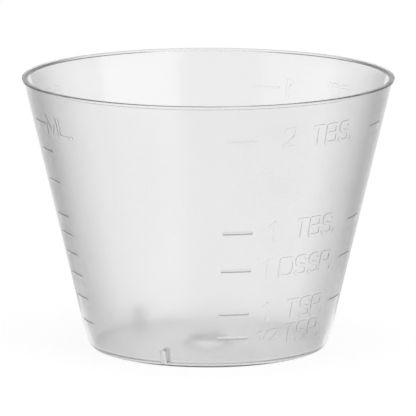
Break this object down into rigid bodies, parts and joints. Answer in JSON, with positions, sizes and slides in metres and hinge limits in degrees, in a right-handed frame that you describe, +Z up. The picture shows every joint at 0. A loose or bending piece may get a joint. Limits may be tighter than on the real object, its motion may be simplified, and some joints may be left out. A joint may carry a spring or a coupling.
{
  "type": "medicine cup",
  "caption": "Small graduated dosing cup for liquid medicine: a thin tapered translucent wall with a beaded rim, raised dose bars, inside nesting lugs and a flat base.",
  "frame": {"origin": "on the table, under the middle of the base", "axes": "+Z up along the cup's axis of turning; the spoon scale faces -Y, a little towards +X"},
  "size_m": [0.0464, 0.0464, 0.0339],
  "materials": {
    "polypropylene": "clear natural polypropylene with a faint haze, glossy outside"
  },
  "bodies": {
    "root": {"cup": "polypropylene"}
  },
  "joints": []
}
